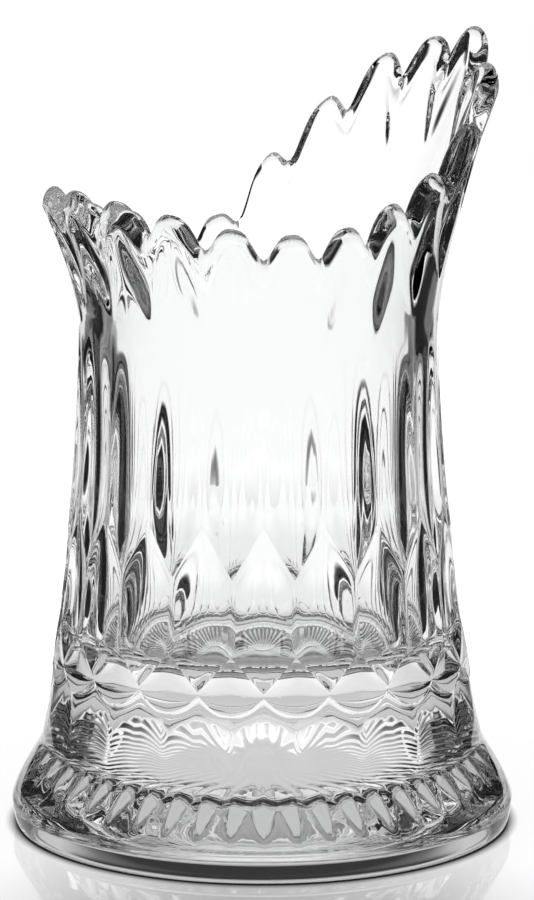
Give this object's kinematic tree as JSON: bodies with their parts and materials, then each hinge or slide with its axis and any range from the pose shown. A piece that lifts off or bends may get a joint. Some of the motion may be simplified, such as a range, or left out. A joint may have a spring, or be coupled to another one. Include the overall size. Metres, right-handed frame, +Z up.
{
  "type": "swung vase",
  "caption": "Clear pressed-glass vase with a flared star-bottomed foot, honeycomb facets and an uneven lobed rim pulled up high on one side, for cut flowers.",
  "frame": {"origin": "on the vase's axis, in the plane that its foot rests on", "axes": "+Z up along the axis, -Y towards the front of the picture, so the tall side of the rim is towards +X and +Y"},
  "size_m": [0.13, 0.13, 0.2041],
  "materials": {
    "clear_glass": "fire-polished"
  },
  "bodies": {
    "root": {"foot": "clear_glass", "base": "clear_glass", "body": "clear_glass", "swung_rim": "clear_glass"}
  },
  "joints": []
}
